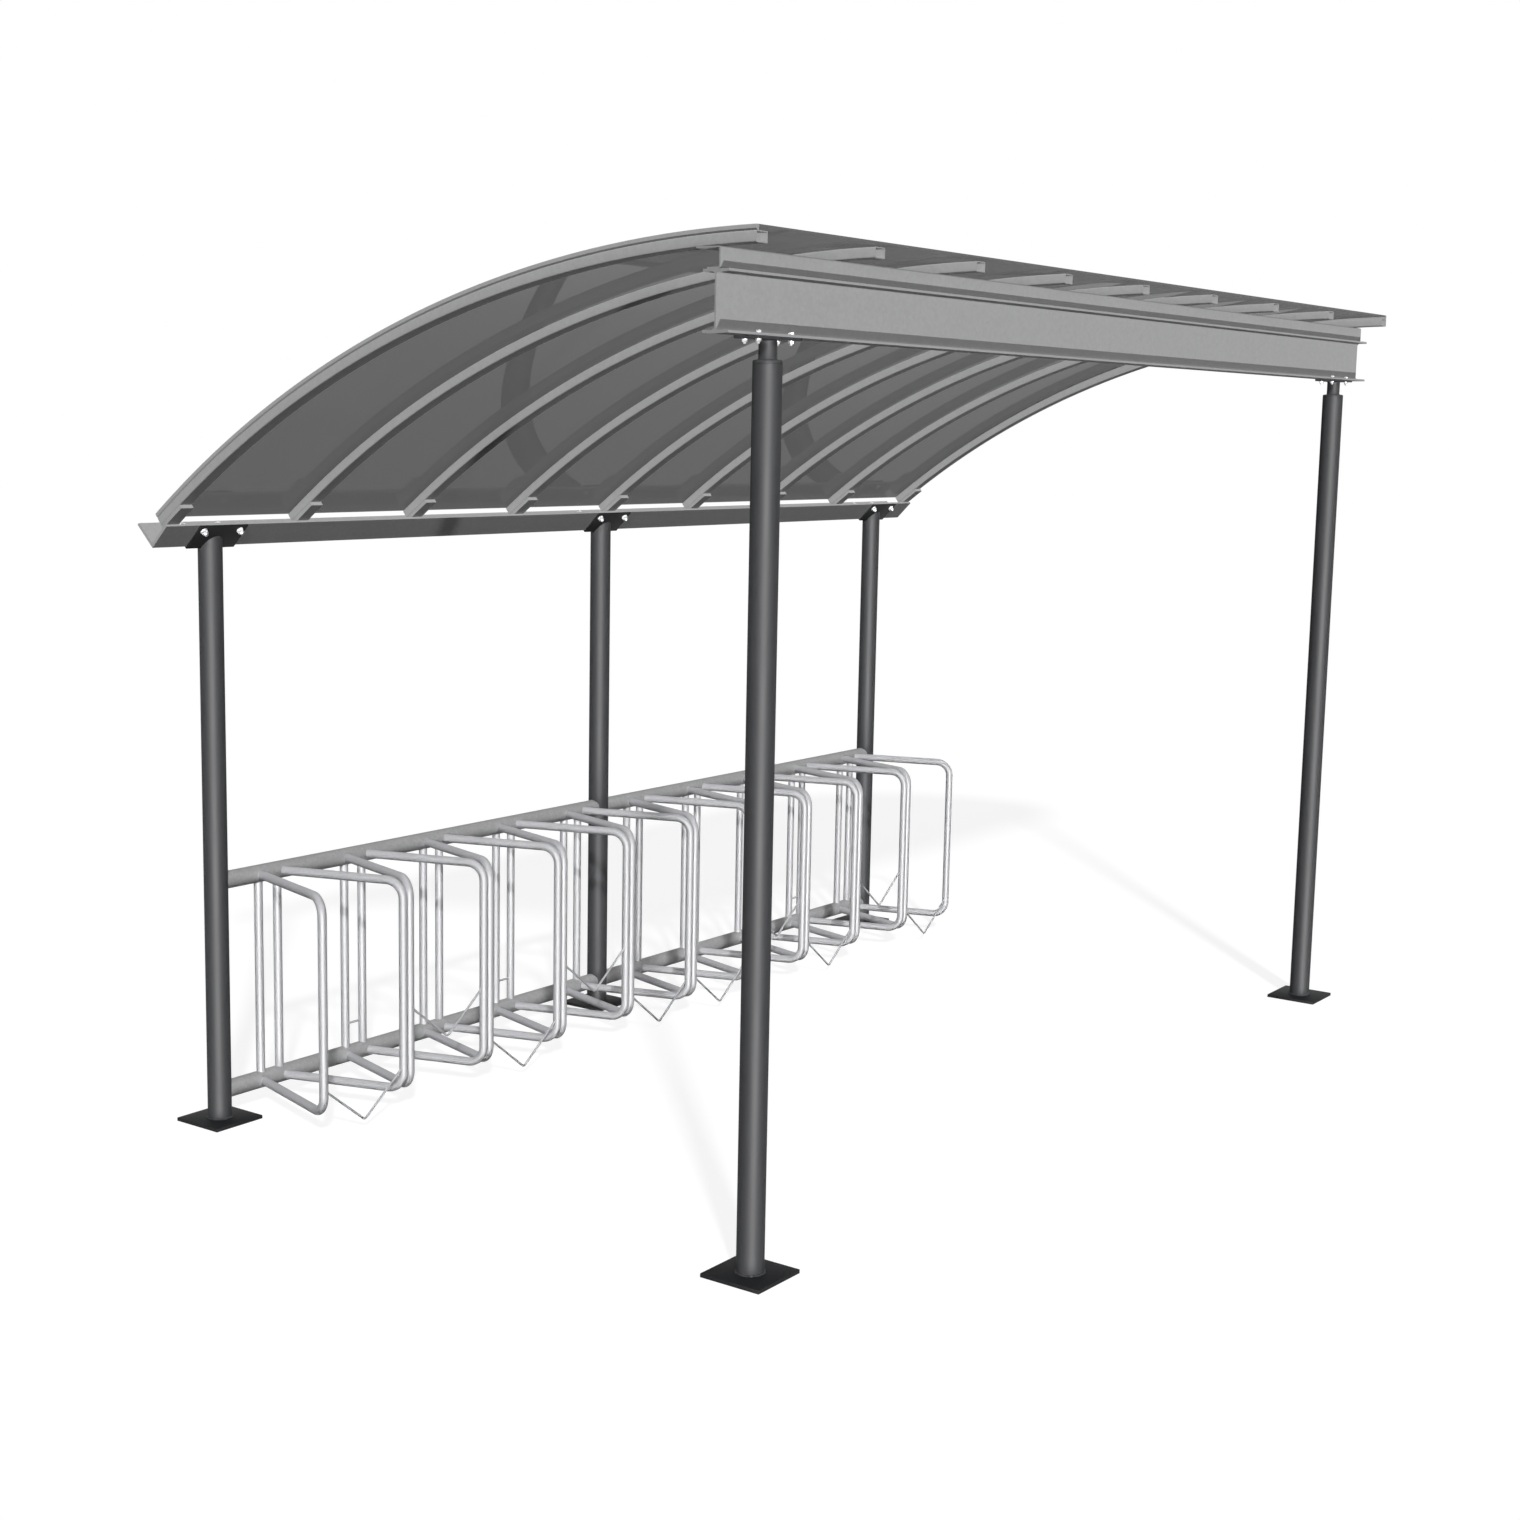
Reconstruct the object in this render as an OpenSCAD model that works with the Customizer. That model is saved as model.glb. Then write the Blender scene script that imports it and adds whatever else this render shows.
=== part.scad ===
// Open bike shelter: two tall front posts, three low rear posts, an arched
// glazed roof on tube ribs, and a two-bay rack with ten wheel places.
// Millimetres. X runs along the shelter, -Y is the open front, +Z is up.

/* [Overall] */
// Distance between rear post axes, one rack bay
bay_length = 2000; // [1500:10:2600]
// Distance between the front and rear post axes
post_depth = 2203; // [1700:1:2700]
// Height of the underside of the front beam
beam_height = 2575; // [2200:5:3100]
// Height of the lower edge of the rear gutter angle
gutter_height = 1935; // [1600:5:2300]
// Beam, channel and gutter past the end post axes
end_overhang = 235; // [150:5:320]

/* [Posts] */
// Outside diameter of the post tubes
post_d = 80; // [60:1:100]
// Wall of the post tubes
post_wall = 3; // [2:0.5:6]
// Side of the square base plates
base_side = 200; // [150:5:260]
// Thickness of the base plates
base_t = 12; // [8:1:20]
// Outside diameter of the spigot over a front post
spigot_d = 50; // [38:1:58]
// Visible height of the spigot
spigot_h = 52; // [30:1:90]
// Thickness of the cap disc on a front post
cap_t = 10; // [8:1:20]
// Bevel around the top of the cap disc
cap_bevel = 4; // [1:0.5:5]
// Bevel around the bottom of the cap disc
cap_groove = 1; // [0.5:0.5:2]
// Head plate length along the beam
head_l = 200; // [160:5:260]
// Head plate width across the beam
head_w = 80; // [60:1:90]
// Head plate thickness
head_t = 8; // [5:1:15]

/* [Front beam] */
// Depth of the rolled I-beam
beam_h = 160; // [120:5:220]
// Width of the I-beam flanges
beam_w = 82; // [70:1:110]
// Thickness of the I-beam web
beam_web = 5; // [4:0.5:9]
// Thickness of the I-beam flanges
beam_flange = 7.4; // [5:0.1:12]
// Root radius between web and flange
beam_root = 9; // [5:1:15]
// Height of the folded channel on the beam
channel_h = 56; // [40:1:80]
// Upper flange of the channel, web face to edge
channel_top = 78; // [60:1:100]
// Lower flange of the channel, web face to edge
channel_bottom = 42; // [36:1:60]
// Sheet thickness of the channel
channel_t = 4; // [3:0.5:6]
// Channel web face forward of the beam axis
channel_set = 14; // [6:1:20]

/* [Gutter] */
// Leg of the angle that forms the gutter
gutter_leg = 100; // [80:1:130]
// Thickness of the angle
gutter_t = 10; // [6:1:14]
// Saddle length along the gutter
saddle_l = 200; // [160:5:260]
// Saddle plate thickness
saddle_t = 5; // [4:1:12]

/* [Roof] */
// Inside radius of the ribs
roof_radius = 3804; // [3200:1:4800]
// Rib tube width
rib_w = 50; // [40:1:70]
// Rib tube height
rib_h = 30; // [24:1:50]
// Rib tube wall
rib_wall = 3; // [2:0.5:5]
// Rib tube corner radius
rib_round = 4; // [1:0.5:6]
// Centre distance of the seven inner ribs
rib_pitch = 546; // [440:1:560]
// Inner rib group set towards the near end
rib_shift = 14; // [0:1:30]
// Number of ribs
rib_count = 9; // [9:1:9]
// End rib face inside the end of the gutter
rib_inset = 6; // [2:1:20]
// Rib reach in front of the beam axis
front_reach = 119; // [90:1:160]
// Rib length past the front edge of the gutter
rear_tail = 24.5; // [15:0.5:45]
// Depth of the flat seat pressed into a rib over the channel
seat_depth = 1.2; // [0.5:0.1:2.5]
// Lug plate thickness under a rib end
lug_t = 13; // [8:0.5:16]
// Lug length along the rib
lug_l = 112; // [80:1:150]
// Depth of the gutter edge in the notch of a lug
lug_bite = 0.48; // [0.2:0.02:2]
// Edge trim width
trim_w = 12; // [8:1:20]
// Edge trim height
trim_h = 15; // [12:1:25]
// Roof sheet thickness
sheet_t = 6; // [4:1:10]
// Roof sheet past the rib ends at the rear
sheet_drip = 12; // [0:1:20]

/* [Rack] */
// Height of the lower rail axis
rail_low = 100; // [80:1:140]
// Height of the upper rail axis
rail_high = 820; // [700:5:960]
// Outside diameter of the rails
rail_d = 60; // [42:1:66]
// Wall of the rails
rail_wall = 3; // [2:0.5:5]
// Centre distance of the wheel places
place_pitch = 400; // [320:1:410]
// Rack group set towards the far end
rack_shift = 27; // [0:1:30]
// Outside diameter of hoops and bars
hoop_d = 30; // [24:1:34]
// Half the distance between the two rear bars
bar_half = 42.5; // [36:0.5:55]
// Half the gap between neighbouring hoops at the front
hoop_gap = 0.5; // [0.5:0.5:3]
// Reach of the hoops in front of the rails
hoop_reach = 460; // [380:5:560]
// Bend radius of the hoops on their axis
hoop_bend = 60; // [45:1:80]
// Diameter of the thin wheel rods
rod_d = 8; // [6:1:12]
// Ends of a low wheel rod above the ground
rod_low = 182; // [165:1:240]
// Ends of a high wheel rod above the ground
rod_high = 382; // [300:1:460]
// Drop of the wheel rod to its lowest point
rod_drop = 143; // [90:1:150]
// Bend radius at the foot of a wheel rod, on its axis
rod_bend = 14; // [10:1:30]
// Height of the short rear rod of a high place
stop_z = 210; // [160:1:260]

/* [Hidden] */
$fn = 48;
roof_fn = 720;

steel = [0.66, 0.67, 0.68];
zinc = [0.80, 0.80, 0.84];
coat = [0.17, 0.18, 0.19];
smoke = [0.36, 0.36, 0.37, 0.6];

diag = sqrt(0.5);
post_r = post_d / 2;
rail_r = rail_d / 2;
hoop_r = hoop_d / 2;
rod_r = rod_d / 2;
half_l = bay_length + end_overhang;
gutter_half = gutter_leg * diag;
rear_reach = max(gutter_half, base_side / 2);
total_depth = post_depth + front_reach + rear_reach;
rear_y = total_depth / 2 - rear_reach;
front_y = rear_y - post_depth;
front_edge = front_y - front_reach;
rear_xs = [-bay_length, 0, bay_length];
front_xs = [-bay_length, bay_length];

// saddle: the V plate under the gutter, its outside apex
saddle_apex = gutter_height - saddle_t / diag;
cut_high = gutter_height + 2 * gutter_leg;

// heights down the front post
channel_z = beam_height + beam_h;
channel_top_z = channel_z + channel_h;
head_z = beam_height - head_t;
cap_z = head_z - spigot_h - cap_t;

// arc of the ribs: inside radius through the channel seat, while the
// gutter's front edge lies in the notch of the lugs
seat_y = front_y - channel_set + channel_top;
seat_z = channel_top_z - seat_depth;
rest_y = rear_y - (gutter_leg - gutter_t) * diag;
rest_z = gutter_height + (gutter_leg + gutter_t) * diag;
rest_radius = roof_radius - lug_t + lug_bite;
chord_y = rest_y - seat_y;
chord_z = rest_z - seat_z;
chord = sqrt(chord_y * chord_y + chord_z * chord_z);
along = (roof_radius * roof_radius - rest_radius * rest_radius
    + chord * chord) / (2 * chord);
sag_leg = sqrt(roof_radius * roof_radius - along * along);
arc_y = seat_y + (along * chord_y + sag_leg * chord_z) / chord;
arc_z = seat_z + (along * chord_z - sag_leg * chord_y) / chord;
rib_out = roof_radius + rib_h;
trim_out = rib_out + trim_h;
sheet_out = trim_out;
sheet_in = sheet_out - sheet_t;
deg_per_mm = 180 / PI / roof_radius;
a_front = asin((front_edge - arc_y) / rib_out);
a_rest = asin((rest_y - arc_y) / rest_radius);
a_rear = a_rest + rear_tail * deg_per_mm;
a_lug = a_rear - lug_l * deg_per_mm;
a_sheet = a_rear + sheet_drip * deg_per_mm;
end_rib_x = half_l - rib_inset - rib_w / 2;
trim_x = half_l - rib_inset - trim_w / 2;
sheet_half = half_l - rib_inset - trim_w;

// rack
place_count = 5;
hoop_front = place_pitch / 2 - hoop_r - hoop_gap;
hoop_run = hoop_front - bar_half;
hoop_len = sqrt(hoop_run * hoop_run + hoop_reach * hoop_reach);
hoop_turn = atan2(hoop_run, hoop_reach);
rod_slope = atan2(rod_drop, hoop_front);
rod_len = sqrt(rod_drop * rod_drop + hoop_front * hoop_front)
    - rod_bend * tan(rod_slope);

function rib_x(i) = i == 0 ? -end_rib_x
    : i == rib_count - 1 ? end_rib_x
    : (i - (rib_count - 1) / 2) * rib_pitch - rib_shift;

// wheel place axis, k = 0..9, five in each bay
function place_x(k) = (k < place_count ? -bay_length / 2 : bay_length / 2)
    + (k % place_count - (place_count - 1) / 2) * place_pitch + rack_shift;

// high places are the second and fourth of each bay
function is_high(k) = (k % place_count) % 2 == 1;

module ring(d, wall, h) {
    difference() {
        cylinder(d = d, h = h);
        translate([0, 0, -1])
            cylinder(d = d - 2 * wall, h = h + 2);
    }
}

// region above the underside of the V saddle, along X
module above_saddle() {
    rotate([90, 0, 90])
        linear_extrude(height = 2 * saddle_l, center = true)
            polygon([[0, saddle_apex],
                [gutter_leg, saddle_apex + gutter_leg],
                [gutter_leg, cut_high], [-gutter_leg, cut_high],
                [-gutter_leg, saddle_apex + gutter_leg]]);
}

module rear_post(x) {
    color(coat)
        translate([x, rear_y, 0])
            difference() {
                translate([0, 0, base_t])
                    ring(post_d, post_wall,
                        saddle_apex + post_d - base_t);
                above_saddle();
            }
}

module rear_post_left() {
    rear_post(-bay_length);
}

module rear_post_middle() {
    rear_post(0);
}

module rear_post_right() {
    rear_post(bay_length);
}

module front_post(x) {
    color(coat)
        translate([x, front_y, base_t])
            ring(post_d, post_wall, cap_z - base_t);
}

module front_post_left() {
    front_post(-bay_length);
}

module front_post_right() {
    front_post(bay_length);
}

module base_plate() {
    translate([-base_side / 2, -base_side / 2, 0])
        cube([base_side, base_side, base_t]);
}

module rear_base_plates() {
    color(coat)
        for (x = rear_xs)
            translate([x, rear_y, 0])
                base_plate();
}

module front_base_plates() {
    color(coat)
        for (x = front_xs)
            translate([x, front_y, 0])
                base_plate();
}

module cap_disc() {
    cylinder(r1 = post_r - cap_groove, r2 = post_r, h = cap_groove);
    translate([0, 0, cap_groove])
        cylinder(r = post_r, h = cap_t - cap_bevel - cap_groove);
    translate([0, 0, cap_t - cap_bevel])
        cylinder(r1 = post_r, r2 = post_r - cap_bevel, h = cap_bevel);
}

module front_post_caps() {
    color(coat)
        for (x = front_xs)
            translate([x, front_y, cap_z])
                cap_disc();
}

module front_spigots() {
    color(coat)
        for (x = front_xs)
            translate([x, front_y, cap_z + cap_t])
                ring(spigot_d, post_wall, spigot_h);
}

module front_head_plates() {
    color(coat)
        for (x = front_xs)
            translate([x - head_l / 2, front_y - head_w / 2, head_z])
                cube([head_l, head_w, head_t]);
}

// V plate that carries the gutter on a rear post
module saddle_profile() {
    reach = gutter_leg * diag;
    step = saddle_t * diag;
    polygon([[0, saddle_apex],
        [reach + step, saddle_apex + reach + step],
        [reach, gutter_height + reach],
        [0, gutter_height],
        [-reach, gutter_height + reach],
        [-reach - step, saddle_apex + reach + step]]);
}

module gutter_saddles() {
    color(coat)
        for (x = rear_xs)
            translate([x, rear_y, 0])
                rotate([90, 0, 90])
                    linear_extrude(height = saddle_l, center = true)
                        saddle_profile();
}

module gutter_profile() {
    inner = gutter_t / diag;
    edge = (gutter_leg - gutter_t) * diag;
    polygon([[0, 0], [gutter_half, gutter_half],
        [edge, edge + inner], [0, inner],
        [-edge, edge + inner], [-gutter_half, gutter_half]]);
}

module gutter_bar(extra) {
    translate([0, rear_y, gutter_height])
        rotate([90, 0, 90])
            linear_extrude(height = 2 * (half_l + extra), center = true)
                gutter_profile();
}

module rear_gutter() {
    color(steel)
        gutter_bar(0);
}

module root_fillet() {
    difference() {
        square([beam_root, beam_root]);
        translate([beam_root, beam_root])
            circle(r = beam_root);
    }
}

module beam_profile() {
    inner_h = beam_h - 2 * beam_flange;
    translate([-beam_w / 2, 0])
        square([beam_w, beam_flange]);
    translate([-beam_w / 2, beam_h - beam_flange])
        square([beam_w, beam_flange]);
    translate([-beam_web / 2, beam_flange])
        square([beam_web, inner_h]);
    for (side = [0, 1])
        mirror([side, 0]) {
            translate([beam_web / 2, beam_flange])
                root_fillet();
            translate([beam_web / 2, beam_h - beam_flange])
                mirror([0, 1])
                    root_fillet();
        }
}

module front_beam() {
    color(steel)
        translate([0, front_y, beam_height])
            rotate([90, 0, 90])
                linear_extrude(height = 2 * half_l, center = true)
                    beam_profile();
}

// folded channel, web to the front, flanges to the rear
module channel_profile() {
    square([channel_t, channel_h]);
    square([channel_bottom, channel_t]);
    translate([0, channel_h - channel_t])
        square([channel_top, channel_t]);
}

module rib_channel() {
    color(steel)
        translate([0, front_y - channel_set, channel_z])
            rotate([90, 0, 90])
                linear_extrude(height = 2 * half_l, center = true)
                    channel_profile();
}

// rectangle with round corners, centred across and standing on y = 0
module round_bar(w, h, r) {
    translate([-h / 2 + r, -w / 2])
        square([h - 2 * r, w]);
    translate([-h / 2, -w / 2 + r])
        square([h, w - 2 * r]);
    for (sx = [-1, 1])
        for (sy = [-1, 1])
            translate([sx * (h / 2 - r), sy * (w / 2 - r)])
                circle(r = r);
}

// sweep a profile around the roof axis between two angles
module arc_sweep(x, a0, a1, r_mid) {
    translate([x, arc_y, arc_z])
        rotate([0, -90, 0])
            rotate([0, 0, a0])
                rotate_extrude(angle = a1 - a0, $fn = roof_fn)
                    translate([r_mid, 0])
                        children();
}

module rib(i) {
    color(steel)
        difference() {
            arc_sweep(rib_x(i), a_front, a_rear, roof_radius + rib_h / 2)
                difference() {
                    round_bar(rib_w, rib_h, rib_round);
                    round_bar(rib_w - 2 * rib_wall,
                        rib_h - 2 * rib_wall, rib_round / 4);
                }
            translate([rib_x(i) - rib_w, front_y - channel_set, channel_z])
                cube([2 * rib_w, channel_top, channel_h]);
        }
}

module rib_1() {
    rib(0);
}

module rib_2() {
    rib(1);
}

module rib_3() {
    rib(2);
}

module rib_4() {
    rib(3);
}

module rib_5() {
    rib(4);
}

module rib_6() {
    rib(5);
}

module rib_7() {
    rib(6);
}

module rib_8() {
    rib(7);
}

module rib_9() {
    rib(8);
}

module rib_lugs() {
    color(steel)
        for (i = [0 : rib_count - 1])
            difference() {
                arc_sweep(rib_x(i), a_lug, a_rear, roof_radius - lug_t / 2)
                    translate([-lug_t / 2, -rib_w / 2])
                        square([lug_t, rib_w]);
                translate([rib_x(i), rear_y, gutter_height])
                    rotate([90, 0, 90])
                        linear_extrude(height = 2 * rib_w, center = true)
                            gutter_profile();
            }
}

module edge_trims() {
    color(steel)
        for (side = [-1, 1])
            arc_sweep(side * trim_x, a_front, a_rear, rib_out + trim_h / 2)
                translate([-trim_h / 2, -trim_w / 2])
                    square([trim_h, trim_w]);
}

module roof_sheet() {
    color(smoke)
        arc_sweep(0, a_front, a_sheet, (sheet_in + sheet_out) / 2)
            translate([-sheet_t / 2, -sheet_half])
                square([sheet_t, 2 * sheet_half]);
}

// rail of one bay, ends shaped to the posts
module rail(z) {
    for (x = [-bay_length, 0])
        difference() {
            translate([x, rear_y, z])
                rotate([0, 90, 0])
                    ring(rail_d, rail_wall, bay_length);
            for (px = [x, x + bay_length])
                translate([px, rear_y, z - rail_d])
                    cylinder(r = post_r, h = 2 * rail_d);
        }
}

module upper_rails() {
    color(steel)
        rail(rail_high);
}

module lower_rails() {
    color(steel)
        rail(rail_low);
}

// solid copies of both rails at one place, used to shape tube ends
module rail_cutters(x) {
    for (z = [rail_low, rail_high])
        translate([x - place_pitch / 2, rear_y, z])
            rotate([0, 90, 0])
                cylinder(r = rail_r, h = place_pitch);
}

// one bent hoop in the plane of its arms, arms along +X
module hoop_path() {
    arm = hoop_len - hoop_bend;
    rise = rail_high - rail_low - 2 * hoop_bend;
    for (z = [rail_low, rail_high])
        translate([0, 0, z])
            rotate([0, 90, 0])
                cylinder(r = hoop_r, h = arm);
    translate([hoop_len, 0, rail_low + hoop_bend])
        cylinder(r = hoop_r, h = rise);
    translate([arm, 0, rail_high - hoop_bend])
        rotate([90, 0, 0])
            rotate_extrude(angle = 90)
                translate([hoop_bend, 0])
                    circle(r = hoop_r);
    translate([arm, 0, rail_low + hoop_bend])
        rotate([90, 0, 0])
            rotate([0, 0, -90])
                rotate_extrude(angle = 90)
                    translate([hoop_bend, 0])
                        circle(r = hoop_r);
}

module hoops(k) {
    color(zinc)
        difference() {
            for (side = [-1, 1])
                translate([place_x(k) + side * bar_half, rear_y, 0])
                    rotate([0, 0, -90 + side * hoop_turn])
                        hoop_path();
            rail_cutters(place_x(k));
        }
}

module hoops_1() {
    hoops(0);
}

module hoops_2() {
    hoops(1);
}

module hoops_3() {
    hoops(2);
}

module hoops_4() {
    hoops(3);
}

module hoops_5() {
    hoops(4);
}

module hoops_6() {
    hoops(5);
}

module hoops_7() {
    hoops(6);
}

module hoops_8() {
    hoops(7);
}

module hoops_9() {
    hoops(8);
}

module hoops_10() {
    hoops(9);
}

module rack_bars() {
    color(zinc)
        for (k = [0 : 2 * place_count - 1])
            difference() {
                for (side = [-1, 1])
                    translate([place_x(k) + side * bar_half, rear_y,
                        rail_low])
                        cylinder(r = hoop_r, h = rail_high - rail_low);
                rail_cutters(place_x(k));
            }
}

// half of a thin rod that is bent to a V, from the middle to a hoop
module half_rod() {
    intersection() {
        translate([0, 0, rod_bend / cos(rod_slope) - rod_drop])
            rotate([0, -rod_slope, 0]) {
                translate([0, 0, -rod_bend])
                    rotate([0, 90, 0])
                        cylinder(r = rod_r, h = rod_len);
                mirror([1, 0, 0])
                    rotate([90, 0, 0])
                        rotate([0, 0, -90])
                            rotate_extrude(angle = 2 * rod_slope)
                                translate([rod_bend, 0])
                                    circle(r = rod_r);
            }
        translate([0, -rod_d, -hoop_reach])
            cube([place_pitch, 2 * rod_d, 2 * hoop_reach]);
    }
}

// thin rod between the two hoops of a place
module wheel_rod(k) {
    top = is_high(k) ? rod_high : rod_low;
    difference() {
        translate([place_x(k), rear_y - hoop_reach, top]) {
            half_rod();
            mirror([1, 0, 0])
                half_rod();
        }
        for (side = [-1, 1])
            translate([place_x(k) + side * hoop_front,
                rear_y - hoop_reach, rail_low])
                cylinder(r = hoop_r, h = rail_high - rail_low);
    }
}

module wheel_rods() {
    color(zinc)
        for (k = [0 : 2 * place_count - 1])
            wheel_rod(k);
}

module stop_rods() {
    color(zinc)
        for (k = [0 : 2 * place_count - 1])
            if (is_high(k))
                difference() {
                    translate([place_x(k) - bar_half, rear_y, stop_z])
                        rotate([0, 90, 0])
                            cylinder(r = rod_r, h = 2 * bar_half);
                    for (side = [-1, 1])
                        translate([place_x(k) + side * bar_half, rear_y,
                            rail_low])
                            cylinder(r = hoop_r, h = rail_high - rail_low);
                }
}

rear_post_left();
rear_post_middle();
rear_post_right();
front_post_left();
front_post_right();
rear_base_plates();
front_base_plates();
front_post_caps();
front_spigots();
front_head_plates();
gutter_saddles();
front_beam();
rib_channel();
rear_gutter();
rib_1();
rib_2();
rib_3();
rib_4();
rib_5();
rib_6();
rib_7();
rib_8();
rib_9();
rib_lugs();
edge_trims();
roof_sheet();
upper_rails();
lower_rails();
hoops_1();
hoops_2();
hoops_3();
hoops_4();
hoops_5();
hoops_6();
hoops_7();
hoops_8();
hoops_9();
hoops_10();
rack_bars();
wheel_rods();
stop_rods();
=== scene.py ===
import math
import bmesh
import bpy
from mathutils import Euler, Matrix, Vector


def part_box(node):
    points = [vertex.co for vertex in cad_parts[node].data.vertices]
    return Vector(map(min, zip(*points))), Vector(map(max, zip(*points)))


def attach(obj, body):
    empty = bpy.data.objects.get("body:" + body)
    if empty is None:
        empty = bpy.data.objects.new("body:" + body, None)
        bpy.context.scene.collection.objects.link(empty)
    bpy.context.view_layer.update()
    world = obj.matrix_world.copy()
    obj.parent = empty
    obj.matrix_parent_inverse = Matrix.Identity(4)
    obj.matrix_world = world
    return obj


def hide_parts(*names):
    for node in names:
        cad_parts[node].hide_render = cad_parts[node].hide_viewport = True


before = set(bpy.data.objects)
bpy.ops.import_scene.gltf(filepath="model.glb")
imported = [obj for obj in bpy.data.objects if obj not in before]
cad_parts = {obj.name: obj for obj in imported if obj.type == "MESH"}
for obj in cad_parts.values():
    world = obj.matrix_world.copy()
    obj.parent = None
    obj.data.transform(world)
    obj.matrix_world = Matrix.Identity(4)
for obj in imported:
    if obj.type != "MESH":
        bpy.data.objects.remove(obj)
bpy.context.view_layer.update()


# Base plates: five square plates cut from 12 mm steel, one under each post,
# edges eased before coating. Each is welded to its post all round the foot and
# powder coated almost black.
def new_finish(name):
    """a new material with its nodes, its links and its shader"""
    finish = bpy.data.materials.new(name)
    finish.use_nodes = True
    nodes = finish.node_tree.nodes
    return finish, nodes, finish.node_tree.links, nodes["Principled BSDF"]


def add_node(nodes, kind, **values):
    """a shader node with its sockets set, a space in their names written as _"""
    made = nodes.new("ShaderNode" + kind)
    for socket, value in values.items():
        made.inputs[socket.replace("_", " ")].default_value = value
    return made


def add_tones(nodes, dark, light, margin):
    """a ramp between two tones, which keeps to them over a margin at either end"""
    made = nodes.new("ShaderNodeValToRGB")
    for i, position, colour in ((0, margin, dark), (1, 1 - margin, light)):
        made.color_ramp.elements[i].position = position
        made.color_ramp.elements[i].color = (*colour, 1)
    return made


def powder_coat(name, dark, light, rough_low, rough_high, grain):
    finish, nodes, links, shader = new_finish(name)
    place = nodes.new("ShaderNodeTexCoord")
    cloud = add_node(nodes, "TexNoise", Scale=5.0, Detail=5.0, Roughness=0.6)
    tone = add_tones(nodes, dark, light, margin=0.3)
    sheen = add_node(nodes, "MapRange", From_Min=0.3, From_Max=0.7, To_Min=rough_low, To_Max=rough_high)
    peel = add_node(nodes, "TexNoise", Scale=grain, Detail=3.0)
    relief = add_node(nodes, "Bump", Strength=0.18, Distance=0.0004)
    for texture in (cloud, peel):
        links.new(place.outputs["Object"], texture.inputs["Vector"])
    links.new(cloud.outputs["Fac"], tone.inputs["Fac"])
    links.new(tone.outputs["Color"], shader.inputs["Base Color"])
    links.new(cloud.outputs["Fac"], sheen.inputs["Value"])
    links.new(sheen.outputs["Result"], shader.inputs["Roughness"])
    links.new(peel.outputs["Fac"], relief.inputs["Height"])
    links.new(relief.outputs["Normal"], shader.inputs["Normal"])
    shader.inputs["Specular IOR Level"].default_value = 0.05
    return finish


def piece(shape, name, finish, slot, *stands_for, crease=32):
    """makes a shape an object of the shelter, in place of the frame's nodes"""
    bmesh.ops.recalc_face_normals(shape, faces=shape.faces)
    mesh = bpy.data.meshes.new(name)
    shape.to_mesh(mesh)
    shape.free()
    for face in mesh.polygons:
        face.use_smooth = True
    mesh.set_sharp_from_angle(angle=math.radians(crease))
    mesh.materials.append(finish)
    made = bpy.data.objects.new(name, mesh)
    bpy.context.scene.collection.objects.link(made)
    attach(made, "root")
    if stands_for:
        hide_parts(*stands_for)
    return made


def add_block(shape, low, high, ease, turn=Matrix.Identity(4)):
    """a block between two corners, its edges eased by that radius"""
    middle = (Vector(low) + Vector(high)) / 2
    size = Vector(high) - Vector(low)
    stretch = Matrix.Translation(middle) @ Matrix.Diagonal((*size, 1))
    made = bmesh.ops.create_cube(shape, size=1.0, matrix=stretch)
    edges = list({e for v in made["verts"] for e in v.link_edges})
    eased = bmesh.ops.bevel(shape, geom=edges, offset=ease, segments=2, profile=0.5,
                            affect="EDGES", material=-1)
    corners = list({v for f in eased["faces"] for v in f.verts})
    whole = set(corners)
    for v in corners:
        for f in v.link_faces:
            whole.update(f.verts)
    bmesh.ops.transform(shape, matrix=turn, verts=list(whole))


bracket_black = powder_coat("bracket_black", dark=(0.0115, 0.0120, 0.0130), light=(0.0150, 0.0155, 0.0165),
                            rough_low=0.50, rough_high=0.62, grain=900)
base_ease = 0.0012

plates = bmesh.new()
foot_places = []
for node, xs in (("rear_base_plates", (-1, 0, 1)), ("front_base_plates", (-1, 1))):
    low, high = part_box(node)
    half = (high.y - low.y) / 2
    for x in xs:
        middle_x = x * (high.x - half)
        foot_places.append((middle_x, low.y + half))
        add_block(plates, (middle_x - half, low.y, low.z), (middle_x + half, high.y, high.z), base_ease)
plate_top = high.z
piece(plates, "base_plates", bracket_black, "anthracite_coat", "rear_base_plates", "front_base_plates")


# Posts: 80 mm round tube, powder coated anthracite with a fine orange peel.
# The front pair is capped. The three at the rear are cut to a V at the top to
# take the gutter's saddle, and all five are welded to their plates.
def add_tube(shape, start, end, radius, sides):
    along = Vector(end) - Vector(start)
    turn = along.to_track_quat("Z", "Y").to_matrix().to_4x4()
    place = Matrix.Translation((Vector(start) + Vector(end)) / 2) @ turn
    bmesh.ops.create_cone(shape, cap_ends=True, segments=sides, radius1=radius, radius2=radius,
                          depth=along.length, matrix=place)


def cut_off(shape, point, beyond):
    """cuts a shape along a plane and drops what lies beyond it"""
    bmesh.ops.bisect_plane(shape, geom=shape.verts[:] + shape.edges[:] + shape.faces[:],
                           plane_co=point, plane_no=beyond, clear_outer=True)
    bmesh.ops.remove_doubles(shape, verts=shape.verts, dist=touching)


anthracite = powder_coat("anthracite", dark=(0.047, 0.048, 0.051), light=(0.055, 0.056, 0.059),
                         rough_low=0.57, rough_high=0.62, grain=700)
post_sides = 96
touching = 1e-5

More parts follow.
